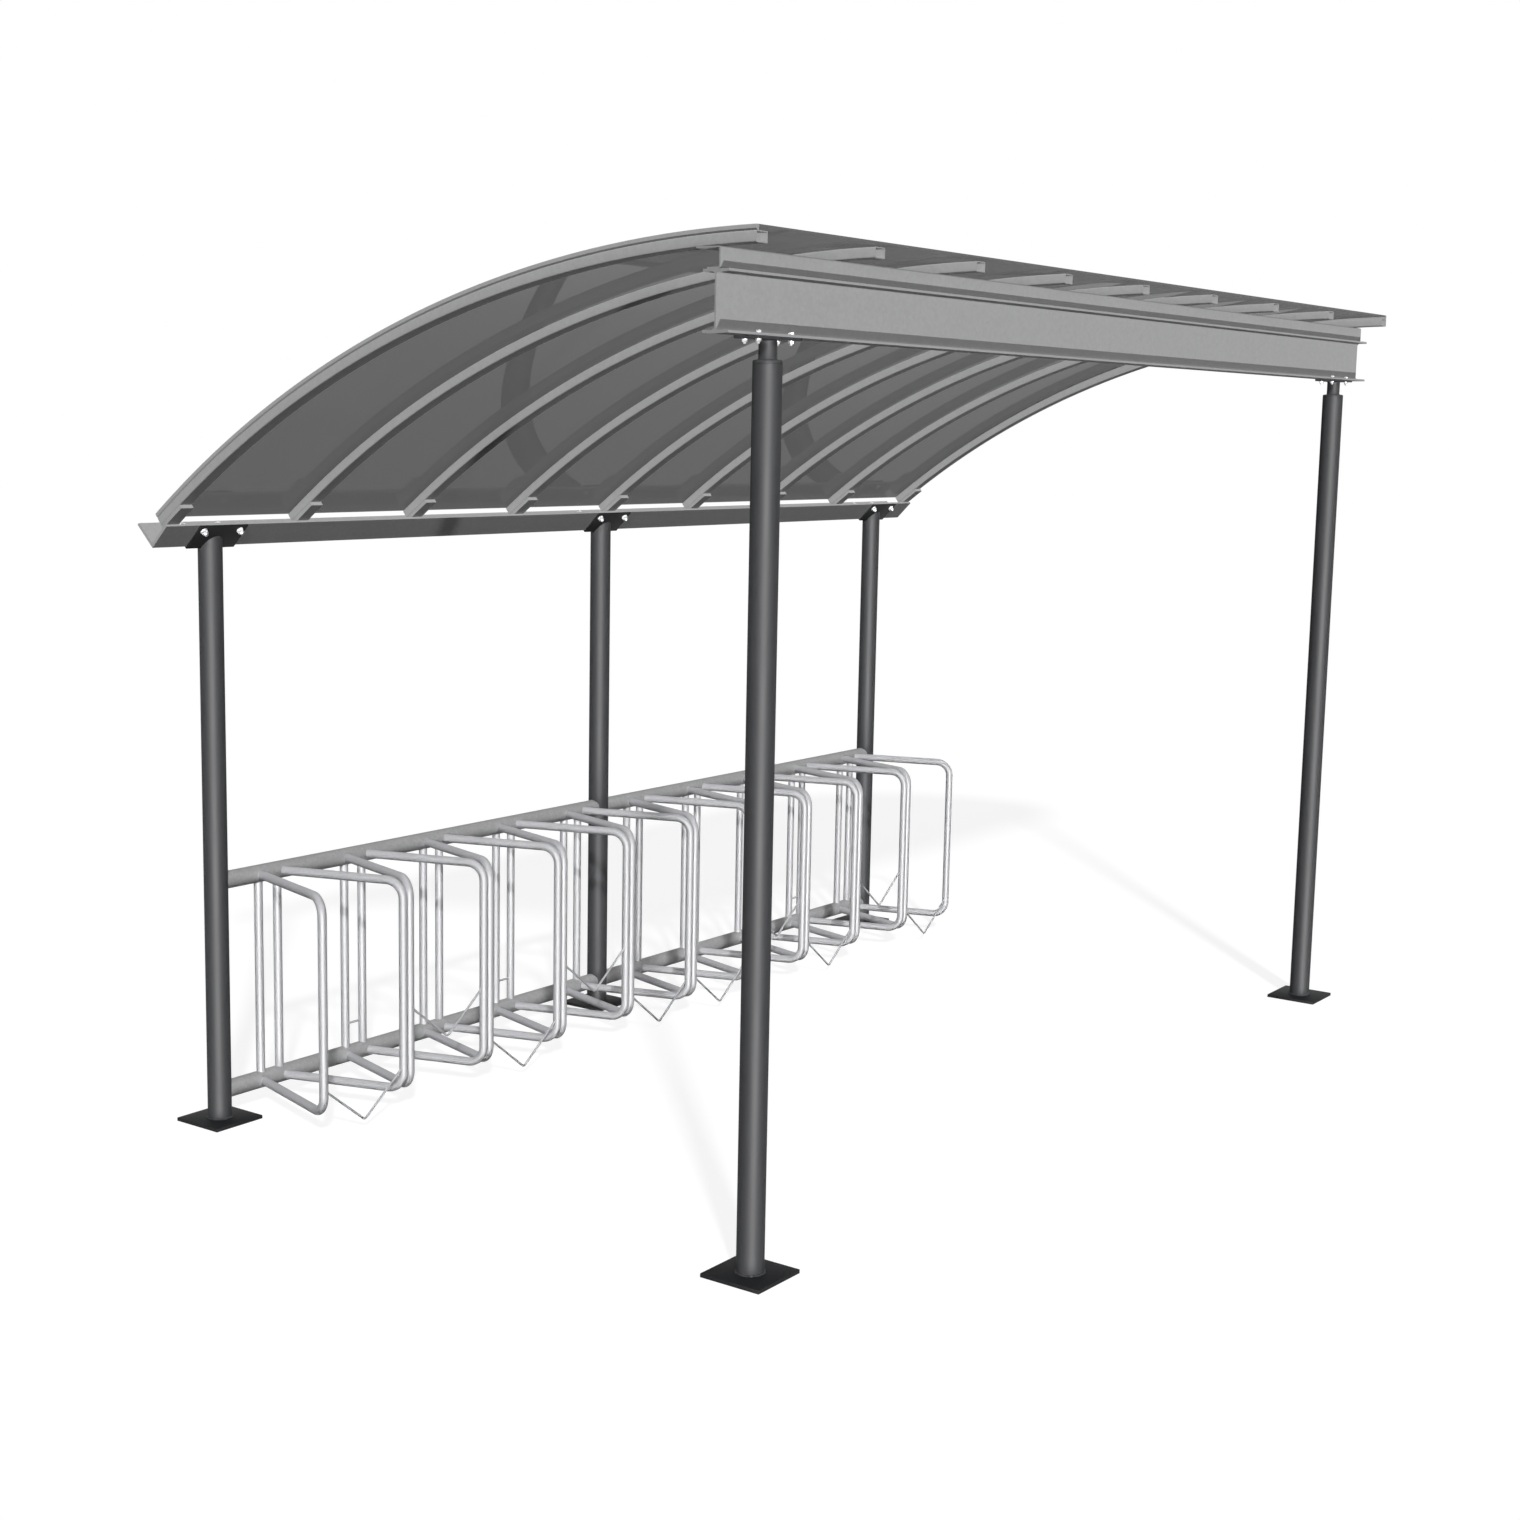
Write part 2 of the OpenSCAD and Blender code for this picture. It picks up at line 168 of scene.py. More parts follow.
front_posts = bmesh.new()
for node in ("front_post_left", "front_post_right"):
    low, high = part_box(node)
    middle_x, middle_y = (low.x + high.x) / 2, (low.y + high.y) / 2
    add_tube(front_posts, (middle_x, middle_y, low.z), (middle_x, middle_y, high.z),
             (high.x - low.x) / 2, post_sides)
piece(front_posts, "front_posts", anthracite, "anthracite_coat", "front_post_left", "front_post_right")

gutter_low, gutter_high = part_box("rear_gutter")
saddle_low, saddle_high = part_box("gutter_saddles")
rear_y = (gutter_low.y + gutter_high.y) / 2
spare = 0.02
rear_posts = bmesh.new()
for node in ("rear_post_left", "rear_post_middle", "rear_post_right"):
    low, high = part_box(node)
    middle_x, post_r = (low.x + high.x) / 2, (high.x - low.x) / 2
    half_post = bmesh.new()
    add_tube(half_post, (middle_x, rear_y, low.z), (middle_x, rear_y, high.z + spare), post_r, post_sides)
    cut_off(half_post, (middle_x, rear_y, 0), (0, -1, 0))
    cut_off(half_post, (middle_x, rear_y, saddle_low.z), (0, -1, 1))
    # the sloping cut is closed from one corner of the half round to the other
    rim = [v for v in half_post.verts if abs((v.co.z - saddle_low.z) - (v.co.y - rear_y)) < touching]
    corners_first = 0.999
    rim.sort(key=lambda v: (v.co.x - middle_x) * (1 if abs(v.co.y - rear_y) < touching else corners_first))
    half_post.faces.new(rim)
    bmesh.ops.mirror(half_post, geom=half_post.verts[:] + half_post.edges[:] + half_post.faces[:],
                     matrix=Matrix.Translation((0, -rear_y, 0)), merge_dist=touching, axis="Y")
    bmesh.ops.remove_doubles(half_post, verts=half_post.verts, dist=touching)
    scratch = bpy.data.meshes.new("post_half")
    half_post.to_mesh(scratch)
    half_post.free()
    rear_posts.from_mesh(scratch)
    bpy.data.meshes.remove(scratch)
piece(rear_posts, "rear_posts", anthracite, "anthracite_coat",
      "rear_post_left", "rear_post_middle", "rear_post_right")


# Weld beads at the post feet: one run of fillet weld round each foot, left as
# laid with its ripples, under the same coating.
def add_ring_weld(shape, centre, radius, size, ripples):
    start = Matrix.Translation(Vector(centre) + Vector((radius, 0, 0)))
    made = bmesh.ops.create_circle(shape, cap_ends=False, segments=8, radius=size,
                                   matrix=start @ Matrix.Rotation(math.pi / 2, 4, "X"))
    loop = list({e for v in made["verts"] for e in v.link_edges})
    before = set(shape.verts)
    bmesh.ops.spin(shape, geom=loop + made["verts"], cent=centre, axis=(0, 0, 1), angle=math.tau,
                   steps=ripples * 4, use_merge=True, use_duplicate=False)
    whole = [v for v in shape.verts if v not in before] + made["verts"]
    swell = 0.16
    for v in whole:
        if v.is_valid:
            out = Vector((v.co.x - centre[0], v.co.y - centre[1], 0))
            turn = math.atan2(out.y, out.x) * ripples
            core = Vector(centre) + out.normalized() * radius
            v.co = core + (v.co - core) * (1 + swell * math.sin(turn))


bead_out, bead_r, bead_ripples = 0.0008, 0.0034, 40
foot_welds = bmesh.new()
for x, y in foot_places:
    add_ring_weld(foot_welds, (x, y, plate_top + bead_out), post_r + bead_out, bead_r, bead_ripples)
piece(foot_welds, "foot_welds", anthracite, "anthracite_coat", crease=180)


# Front post heads: a turned cap disc with a rounded rim closes each tube. A
# 50 mm spigot stands on it and carries a flat plate that the beam sits on.
low_cap, high_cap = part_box("front_post_caps")
low_neck, high_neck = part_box("front_spigots")
cap_r = (high_cap.y - low_cap.y) / 2
neck_r = (high_neck.y - low_neck.y) / 2
arris, rim_r, neck_weld, top_weld = 0.0010, 0.0040, 0.0040, 0.0030
turned = [(0, low_cap.z), (cap_r - arris, low_cap.z), (cap_r, low_cap.z + arris),
          (cap_r, high_cap.z - rim_r), (cap_r - rim_r * 0.3, high_cap.z - rim_r * 0.4),
          (cap_r - rim_r, high_cap.z), (neck_r + neck_weld, high_cap.z),
          (neck_r + neck_weld * 0.3, high_cap.z + neck_weld * 0.3), (neck_r, high_cap.z + neck_weld),
          (neck_r, high_neck.z - top_weld), (neck_r + top_weld, high_neck.z), (0, high_neck.z)]
head_places = [(side * (high_cap.x - cap_r), (low_cap.y + high_cap.y) / 2) for side in (-1, 1)]
heads = bmesh.new()
for x, y in head_places:
    line = [heads.verts.new((x + r, y, z)) for r, z in turned]
    run = [heads.edges.new(pair) for pair in zip(line, line[1:])]
    bmesh.ops.spin(heads, geom=line + run, cent=(x, y, 0), axis=(0, 0, 1), angle=math.tau,
                   steps=72, use_merge=True)
bmesh.ops.remove_doubles(heads, verts=heads.verts, dist=1e-6)
piece(heads, "front_post_heads", anthracite, "anthracite_coat", "front_post_caps", "front_spigots", crease=28)

low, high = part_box("front_head_plates")
head_plate_under = low.z
head_plates = bmesh.new()
for x, y in head_places:
    half = high.x - abs(x)
    add_block(head_plates, (x - half, low.y, low.z), (x + half, high.y, high.z), arris)
piece(head_plates, "head_plates", anthracite, "anthracite_coat", "front_head_plates")


# Front beam: a rolled I-beam 160 mm deep, hot-dip galvanised to a matt grey
# with a soft spangle. Root radii join the web and the flanges.
def galvanised(name, dark, light, rough_low, rough_high, spangle, shine, metal=0.0):
    finish, nodes, links, shader = new_finish(name)
    place = nodes.new("ShaderNodeTexCoord")
    flower = add_node(nodes, "TexVoronoi", Scale=spangle, Randomness=1.0)
    flake = nodes.new("ShaderNodeSeparateColor")
    run_marks = add_node(nodes, "TexNoise", Scale=7.0, Detail=6.0, Roughness=0.65)
    blend = nodes.new("ShaderNodeMix")
    blend.data_type = "FLOAT"
    blend.inputs["Factor"].default_value = 0.45
    tone = add_tones(nodes, dark, light, margin=0.2)
    gloss = add_node(nodes, "MapRange", To_Min=rough_low, To_Max=rough_high)
    fine = add_node(nodes, "TexNoise", Scale=420.0, Detail=2.0)
    relief = add_node(nodes, "Bump", Strength=0.10, Distance=0.0003)
    for texture in (flower, run_marks, fine):
        links.new(place.outputs["Object"], texture.inputs["Vector"])
    links.new(flower.outputs["Color"], flake.inputs["Color"])
    links.new(flake.outputs["Red"], blend.inputs["A"])
    links.new(run_marks.outputs["Fac"], blend.inputs["B"])
    links.new(blend.outputs["Result"], tone.inputs["Fac"])
    links.new(tone.outputs["Color"], shader.inputs["Base Color"])
    links.new(flake.outputs["Green"], gloss.inputs["Value"])
    links.new(gloss.outputs["Result"], shader.inputs["Roughness"])
    links.new(fine.outputs["Fac"], relief.inputs["Height"])
    links.new(relief.outputs["Normal"], shader.inputs["Normal"])
    shader.inputs["Metallic"].default_value = metal
    shader.inputs["Specular IOR Level"].default_value = shine
    return finish


def add_bar(shape, outline, start_x, end_x):
    """a bar along X whose end is the outline given as (y, z) points"""
    ring = [shape.verts.new((start_x, y, z)) for y, z in outline]
    end = shape.faces.new(ring)
    grown = bmesh.ops.extrude_face_region(shape, geom=[end], use_keep_orig=True)
    moved = [v for v in grown["geom"] if isinstance(v, bmesh.types.BMVert)]
    bmesh.ops.translate(shape, vec=(end_x - start_x, 0, 0), verts=moved)


def arc_points(centre, radius, start, end, steps):
    angles = [math.radians(start + (end - start) * i / steps) for i in range(steps + 1)]
    return [(centre[0] + radius * math.cos(a), centre[1] + radius * math.sin(a)) for a in angles]


structural_zinc = galvanised("structural_zinc", dark=(0.360, 0.361, 0.362), light=(0.388, 0.389, 0.390),
                             rough_low=0.55, rough_high=0.65, spangle=95, shine=0.03)

beam_low, beam_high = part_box("front_beam")
beam_y, beam_z = (beam_low.y + beam_high.y) / 2, (beam_low.z + beam_high.z) / 2
half_w, half_h = (beam_high.y - beam_low.y) / 2, (beam_high.z - beam_low.z) / 2
flange, web, root, arris = 0.0074, 0.0050, 0.0090, 0.0008
quarter = [(half_w, half_h), (half_w, half_h - flange + arris), (half_w - arris, half_h - flange)]
quarter += arc_points((web / 2 + root, half_h - flange - root), root, 90, 180, 8)
right = quarter + [(y, -z) for y, z in reversed(quarter)]
outline = [(beam_y + y, beam_z + z) for y, z in right + [(-y, -z) for y, z in right]]
beam = bmesh.new()
add_bar(beam, outline, beam_low.x, beam_high.x)
piece(beam, "rolled_beam", structural_zinc, "beam_zinc", "front_beam", crease=30)


# Rib channel: 4 mm galvanised sheet folded to a channel and welded along the
# top of the beam, with its web to the front and a wide upper flange for the ribs.
low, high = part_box("rib_channel")
thick, bend, lower_w = 0.0040, 0.0060, 0.0420
outline = [(high.y, high.z)]
outline += arc_points((low.y + bend, high.z - bend), bend, 90, 180, 6)
outline += arc_points((low.y + bend, low.z + bend), bend, 180, 270, 6)
outline += [(low.y + lower_w, low.z), (low.y + lower_w, low.z + thick)]
outline += arc_points((low.y + bend, low.z + bend), bend - thick, 270, 180, 4)
outline += arc_points((low.y + bend, high.z - bend), bend - thick, 180, 90, 4)
outline += [(high.y, high.z - thick)]
channel = bmesh.new()
add_bar(channel, outline, low.x, high.x)
piece(channel, "folded_channel", structural_zinc, "beam_zinc", "rib_channel", crease=30)


# Rear gutter: a 100 mm rolled equal angle turned to a V. It ties the rear
# posts and drains the roof, with rounded toes and a root radius inside.
diagonal = math.sqrt(0.5)
leg = (gutter_high.y - gutter_low.y) / 2 / diagonal
leg_t, toe, inner_root, heel, tip = 0.0100, 0.0030, 0.0110, 0.0006, 0.0004
one_leg = [(heel, 0), (leg - tip, 0), (leg, heel)]
one_leg += arc_points((leg - toe, leg_t - toe), toe, 0, 90, 4)
flat = one_leg + arc_points((leg_t + inner_root, leg_t + inner_root), inner_root, 270, 180, 8)
flat += [(b, a) for a, b in reversed(one_leg)]
outline = [(rear_y + (a - b) * diagonal, gutter_low.z + (a + b) * diagonal) for a, b in flat]
gutter = bmesh.new()
add_bar(gutter, outline, gutter_low.x, gutter_high.x)
piece(gutter, "gutter_angle", structural_zinc, "roof_zinc", "rear_gutter", crease=30)


# Gutter saddles: a folded 5 mm plate, near black, between each rear post and
# the gutter, bolted up through both legs of the angle.
saddle_t, saddle_half, saddle_ease, clearance = 0.0050, 0.100, 0.0008, 0.00005
saddle_places = [x * (saddle_high.x - saddle_half) for x in (-1, 0, 1)]
saddles = bmesh.new()
for x in saddle_places:
    for side in (-1, 1):
        turn = Matrix.Translation((x, rear_y, gutter_low.z)) @ Matrix.Rotation(side * math.pi / 4, 4, "X")
        reach = (-saddle_t, leg) if side == 1 else (-leg, saddle_t)
        add_block(saddles, (-saddle_half, reach[0], -saddle_t), (saddle_half, reach[1], -clearance),
                  saddle_ease, turn)
piece(saddles, "saddle_plates", bracket_black, "dark_bracket", "gutter_saddles")


# Ribs: nine 50 x 30 mm tubes with 3 mm wall, rolled to a 3.8 m radius. They
# stand on the channel at the front, where their ends are left open.
def add_arc_bar(shape, ring, start, end, steps):
    """turns a closed ring of faces at the top of the roof circle into a curved bar"""
    everything = list({v for f in ring for v in f.verts})
    lean = Matrix.Rotation(math.radians(-start), 3, "X")
    bmesh.ops.rotate(shape, verts=everything, cent=roof_axis, matrix=lean)
    edges = list({e for f in ring for e in f.edges})
    bmesh.ops.spin(shape, geom=list(ring) + edges + everything, cent=roof_axis, axis=(1, 0, 0),
                   angle=math.radians(-(end - start)), steps=steps, use_merge=False)


def add_flat(shape, outline):
    """an upright face across the top of the roof circle, from (x, radius) points"""
    return shape.faces.new([shape.verts.new((x, roof_axis.y, roof_axis.z + r)) for x, r in outline])


# The roof circle's middle lies 1 m under the ground, just in front of the beam.
# Angles run back from its top: the front cut, the ribs' rear end, the sheet's.
axis_ahead, axis_z = 2.354878, -1.008070
roof_axis = Vector((0, rear_y - axis_ahead, axis_z))
front_deg, rib_deg, sheet_deg = 0.4913, 37.5486, 37.7293
rib_under, rib_over, rib_round, rib_wall = 3.804, 3.834, 0.0040, 0.0030
rib_steps = 96

ribs = bmesh.new()
rib_names = ["rib_%d" % i for i in range(1, 10)]
for name in rib_names:
    low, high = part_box(name)
    middle_x = (low.x + high.x) / 2
    plain = add_flat(ribs, [(low.x, rib_under), (high.x, rib_under), (high.x, rib_over), (low.x, rib_over)])
    bmesh.ops.bevel(ribs, geom=plain.verts[:], offset=rib_round, segments=4, profile=0.5,
                    affect="VERTICES", material=-1)
    front = [f for f in ribs.faces if f.verts[0].co.y == roof_axis.y]
    own = [f for f in front if abs(f.calc_center_median().x - middle_x) < 0.001]
    face = max(own, key=lambda f: f.calc_area())
    wall = bmesh.ops.inset_region(ribs, faces=[face], thickness=rib_wall, use_even_offset=True,
                                  use_boundary=True)["faces"]
    bmesh.ops.delete(ribs, geom=[face], context="FACES_ONLY")
    add_arc_bar(ribs, wall, front_deg, rib_deg, rib_steps)
piece(ribs, "curved_ribs", structural_zinc, "roof_zinc", *rib_names, crease=30)


# Rib lugs: a short curved flat under the rear end of each rib, notched over
# the gutter's front leg and welded to it.
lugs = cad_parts["rib_lugs"]
lugs.data.materials.clear()
lugs.data.materials.append(structural_zinc)


# Edge trims: a 12 x 15 mm bar on each end rib, rolled with it. The roof sheet
# butts against it, and a small bevel leaves a shadow line over the rib.
low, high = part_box("edge_trims")
trim_w, trim_top = 0.012, 3.849
bevel_w, bevel_h, arris, top_arris = 0.0050, 0.0046, 0.0008, 0.0012
trims = bmesh.new()
for x0, x1 in ((low.x, low.x + trim_w), (high.x - trim_w, high.x)):
    outline = [(x0, rib_over + bevel_h), (x0 + bevel_w, rib_over), (x1 - arris, rib_over),
               (x1, rib_over + arris), (x1, trim_top - top_arris), (x1 - top_arris, trim_top),
               (x0 + top_arris, trim_top), (x0, trim_top - top_arris)]
    if x1 == high.x:
        outline = [(x0 + x1 - x, r) for x, r in reversed(outline)]
    add_arc_bar(trims, [add_flat(trims, outline)], front_deg, rib_deg, rib_steps)
piece(trims, "edge_bars", structural_zinc, "roof_zinc", "edge_trims", crease=30)


# Roof sheet: one 6 mm sheet of smoked acrylic, bent cold over the ribs between
# the two edge trims. Both faces are glossy, with a little dust and fine haze.
smoked, nodes, links, shader = new_finish("smoked_acrylic")
place = nodes.new("ShaderNodeTexCoord")
dust = add_node(nodes, "TexNoise", Scale=1.6, Detail=8.0, Roughness=0.7)
tint = add_tones(nodes, (0.055, 0.055, 0.057), (0.067, 0.067, 0.068), margin=0.25)
haze = add_node(nodes, "MapRange", To_Min=0.06, To_Max=0.13)
wave = add_node(nodes, "TexNoise", Scale=2.2, Detail=1.0)
ripple = add_node(nodes, "Bump", Strength=0.02, Distance=0.002)
for texture in (dust, wave):
    links.new(place.outputs["Object"], texture.inputs["Vector"])
links.new(dust.outputs["Fac"], tint.inputs["Fac"])
links.new(tint.outputs["Color"], shader.inputs["Base Color"])
links.new(dust.outputs["Fac"], haze.inputs["Value"])
links.new(haze.outputs["Result"], shader.inputs["Roughness"])
links.new(wave.outputs["Fac"], ripple.inputs["Height"])
links.new(ripple.outputs["Normal"], shader.inputs["Normal"])
shader.inputs["Specular IOR Level"].default_value = 0.0
shader.inputs["Coat Weight"].default_value = 0.28
shader.inputs["Coat Roughness"].default_value = 0.02
shader.inputs["Coat IOR"].default_value = 1.49
shader.inputs["Alpha"].default_value = 0.70

low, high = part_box("roof_sheet")
sheet_under, sheet_over, edge, sheet_steps = 3.843, 3.849, 0.0006, 128
roof = bmesh.new()
outline = [(low.x + edge, sheet_under), (high.x - edge, sheet_under), (high.x, sheet_under + edge),
           (high.x, sheet_over - edge), (high.x - edge, sheet_over), (low.x + edge, sheet_over),
           (low.x, sheet_over - edge), (low.x, sheet_under + edge)]
add_arc_bar(roof, [add_flat(roof, outline)], front_deg, sheet_deg, sheet_steps)
piece(roof, "smoked_roof", smoked, "smoked_sheet", "roof_sheet", crease=30)


# Rails: 60 mm galvanised tube from post to post, one low and one high in each
# bay, with the ends fitted to the posts and welded.
rail_zinc = galvanised("rail_zinc", dark=(0.300, 0.301, 0.304), light=(0.340, 0.341, 0.344),
                       rough_low=0.50, rough_high=0.58, spangle=110, shine=0.025)
rails = bmesh.new()
rail_z = {}
in_post = 0.030
for node in ("lower_rails", "upper_rails"):
    low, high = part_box(node)
    z = (low.z + high.z) / 2
    rail_z[node] = z
    for x0, x1 in ((low.x, -in_post), (in_post, high.x)):
        add_tube(rails, (x0, rear_y, z), (x1, rear_y, z), (high.z - low.z) / 2, 72)
piece(rails, "rack_rails", rail_zinc, "rail_zinc", "lower_rails", "upper_rails")


# Hoops: two bent tubes of 30 mm for each of the ten wheel places. They leave
# the rails together, spread like a V and stand upright at the front.
def add_bent_bar(shape, start, radius, sides, route, steps, place):
    """a round bar in the XZ plane, then put in its place: each stretch of the route
    is a run along a vector, with a turn of 0, or a bend by its turn about a point"""
    made = bmesh.ops.create_circle(shape, cap_ends=True, segments=sides, radius=radius, matrix=start)
    ring = list({e for v in made["verts"] for e in v.link_edges})
    whole = list(made["verts"])
    for turn, value in route:
        if turn == 0:
            grown = bmesh.ops.extrude_edge_only(shape, edges=ring)["geom"]
            moved = [g for g in grown if isinstance(g, bmesh.types.BMVert)]
            bmesh.ops.translate(shape, vec=value, verts=moved)
        else:
            before = set(shape.verts)
            grown = bmesh.ops.spin(shape, geom=ring, cent=value, axis=(0, 1, 0), angle=turn,
                                   steps=steps)["geom_last"]
            whole += [v for v in shape.verts if v not in before]
        ring = [g for g in grown if isinstance(g, bmesh.types.BMEdge)]
        whole += [g for g in grown if isinstance(g, bmesh.types.BMVert)]
    bmesh.ops.contextual_create(shape, geom=ring)
    bmesh.ops.transform(shape, matrix=place, verts=list(set(whole)))


rack_zinc = galvanised("rack_zinc", dark=(0.385, 0.385, 0.402), light=(0.415, 0.415, 0.432),
                       rough_low=0.55, rough_high=0.58, spangle=160, shine=0.17)
low_rail, high_rail = rail_z["lower_rails"], rail_z["upper_rails"]
hoop_r, bend_r, hoop_sides = 0.015, 0.060, 28
hoop_reach, spread = 0.460, 0.142
arm = math.hypot(hoop_reach, spread)
hoop_turn = math.atan2(spread, hoop_reach)
bar_half, sunk = 0.0425, 0.012

hoop_start = Matrix.Translation((sunk, 0, high_rail)) @ Matrix.Rotation(math.pi / 2, 4, "Y")
level_run = Vector((arm - bend_r - sunk, 0, 0))
upright_run = Vector((0, 0, -(high_rail - low_rail - 2 * bend_r)))
hoop_route = ((0, level_run), (math.pi / 2, Vector((arm - bend_r, 0, high_rail - bend_r))), (0, upright_run),
              (math.pi / 2, Vector((arm - bend_r, 0, low_rail + bend_r))), (0, -level_run))
hoop_names = ["hoops_%d" % i for i in range(1, 11)]
place_x = []
for name in hoop_names:
    low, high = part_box(name)
    place_x.append((low.x + high.x) / 2)
hoops = bmesh.new()
for x in place_x:
    for side in (-1, 1):
        aim = Matrix.Rotation(-math.pi / 2 + side * hoop_turn, 4, "Z")
        place = Matrix.Translation((x + side * bar_half, rear_y, 0)) @ aim
        add_bent_bar(hoops, hoop_start, hoop_r, hoop_sides, hoop_route, 12, place)
piece(hoops, "wheel_hoops", rack_zinc, "rack_zinc", *hoop_names)


# Rear bars: two upright 30 mm tubes behind each place, in line with the ends
# of its hoops. They are cut to fit between the two rails and welded.
bars = bmesh.new()
for x in place_x:
    for side in (-1, 1):
        bar_x = x + side * bar_half
        add_tube(bars, (bar_x, rear_y, low_rail + sunk), (bar_x, rear_y, high_rail - sunk),
                 hoop_r, hoop_sides)
piece(bars, "rear_bars", rack_zinc, "rack_zinc", "rack_bars")


# Wheel rods: 8 mm round bar bent to a V between the fronts of the hoops, low
# and high by turns, and a short straight one behind each high place.
rod_r, rod_bend, rod_drop, rod_sides = 0.004, 0.014, 0.143, 16
hoop_front, high_top, low_top = 0.1845, 0.382, 0.182
stop_z, stop_sunk = 0.210, 0.010
rod_slope = math.atan2(rod_drop, hoop_front)
straight = math.hypot(rod_drop, hoop_front) - rod_bend * math.tan(rod_slope)
down = Vector((math.cos(rod_slope), 0, -math.sin(rod_slope)))
up = Vector((down.x, 0, -down.z))
rods = bmesh.new()
for i, x in enumerate(place_x):
    high_place = i % 5 in (1, 3)
    top = high_top if high_place else low_top
    bend_middle = Vector((0, 0, top - rod_drop + rod_bend / math.cos(rod_slope)))
    rod_route = ((0, down * (straight - sunk)), (-2 * rod_slope, bend_middle), (0, up * (straight - sunk)))
    rod_start = Matrix.Translation(Vector((-hoop_front, 0, top)) + down * sunk)
    rod_start = rod_start @ down.to_track_quat("Z", "Y").to_matrix().to_4x4()
    place = Matrix.Translation((x, rear_y - hoop_reach, 0))
    add_bent_bar(rods, rod_start, rod_r, rod_sides, rod_route, 10, place)
    if high_place:
        stop_half = bar_half - stop_sunk
        add_tube(rods, (x - stop_half, rear_y, stop_z), (x + stop_half, rear_y, stop_z), rod_r, rod_sides)
piece(rods, "thin_rods", rack_zinc, "rack_zinc", "wheel_rods", "stop_rods")


# Fixings: zinc-plated hex bolts with washers and nuts. Four M8 hold each head
# plate to the beam, and four M12 hold each saddle to the two legs of the gutter.
def add_turned(shape, place, outline, sides):
    """a part turned about its own Z axis from (radius, height) points, or hexagonal with six sides"""
    line = [shape.verts.new((r, 0, z)) for r, z in outline]
    run = [shape.edges.new(pair) for pair in zip(line, line[1:])]
    before = set(shape.verts) - set(line)
    bmesh.ops.spin(shape, geom=line + run, cent=(0, 0, 0), axis=(0, 0, 1), angle=math.tau,
                   steps=sides, use_merge=True)
    whole = [v for v in shape.verts if v not in before]
    bmesh.ops.remove_doubles(shape, verts=whole, dist=1e-6)
    bmesh.ops.transform(shape, matrix=place, verts=[v for v in whole if v.is_valid])


def add_fixing(shape, place, grip, size, proud):
    """a bolt through a grip: nut and thread end on +Z from the origin, head at -grip"""
    across_flats = {8: 0.013, 12: 0.019}[size]
    corner = across_flats / 2 / math.cos(math.pi / 6)
    washer_r, washer_t = size * 0.001, size * 0.0002
    nut_h, head_h, core, pitch = size * 0.00085, size * 0.00066, size * 0.0005, size * 0.00016
    soft, dish, chamfer = 0.0003, 0.0006, 0.0008
    flip = place @ Matrix.Translation((0, 0, -grip)) @ Matrix.Rotation(math.pi, 4, "X")
    lift = Matrix.Translation((0, 0, washer_t))

    washer = [(0, 0), (washer_r - soft, 0), (washer_r, soft), (washer_r, washer_t - soft),
              (washer_r - soft, washer_t), (0, washer_t)]
    for side in (place, flip):
        add_turned(shape, side, washer, 28)

    nut = [(0, 0), (corner * 0.93, 0), (corner, dish), (corner, nut_h - chamfer), (corner * 0.90, nut_h),
           (core * 1.08, nut_h), (core, nut_h - dish), (0, nut_h - dish)]
    add_turned(shape, place @ lift, nut, 6)
    head = [(0, 0), (corner, 0), (corner, head_h - chamfer), (corner * 0.88, head_h), (0, head_h)]
    add_turned(shape, flip @ lift, head, 6)

    thread = [(0, nut_h - 0.002)]
    for i in range(int(proud / pitch)):
        z = nut_h + i * pitch
        thread += [(core * 0.90, z), (core, z + pitch / 2)]
    thread += [(core * 0.86, nut_h + proud), (0, nut_h + proud)]
    add_turned(shape, place @ lift, thread, 20)


plated = galvanised("plated_fixings", dark=(0.66, 0.66, 0.67), light=(0.74, 0.74, 0.75),
                    rough_low=0.30, rough_high=0.40, spangle=900, shine=0.14, metal=0.15)
bolt_along, bolt_across, up_leg = 0.075, 0.022, 0.078
head_plate_t, small_proud, large_proud = 0.008, 0.0045, 0.0070

# Each nut stops at an angle of its own.
fixings = bmesh.new()
for x, y in head_places:
    for dx in (-bolt_along, bolt_along):
        for dy in (-bolt_across, bolt_across):
            twist = Matrix.Rotation(0.4 + dx * 9 + dy * 20, 4, "Z")
            down = Matrix.Translation((x + dx, y + dy, head_plate_under)) @ Matrix.Rotation(math.pi, 4, "X")
            add_fixing(fixings, down @ twist, head_plate_t + flange, 8, small_proud)
for x in saddle_places:
    for side in (-1, 1):
        for dx in (-bolt_along, bolt_along):
            twist = Matrix.Rotation(0.3 + dx * 7 + side, 4, "Z")
            face = Vector((x + dx, rear_y + side * up_leg * diagonal, gutter_low.z + up_leg * diagonal))
            out = Vector((0, side * diagonal, -diagonal))
            aim = out.to_track_quat("Z", "X").to_matrix().to_4x4()
            place = Matrix.Translation(face + out * saddle_t) @ aim @ twist
            add_fixing(fixings, place, saddle_t + leg_t, 12, large_proud)
piece(fixings, "bolts", plated, "rack_zinc", crease=25)


# Floor: a plain pale ground that stands in for a studio floor. It looks white
# where it is bare, keeps a faint shadow and throws little light back up.
def loose_object(name, shape):
    mesh = bpy.data.meshes.new(name)
    shape.to_mesh(mesh)
    shape.free()
    return bpy.data.objects.new(name, mesh)


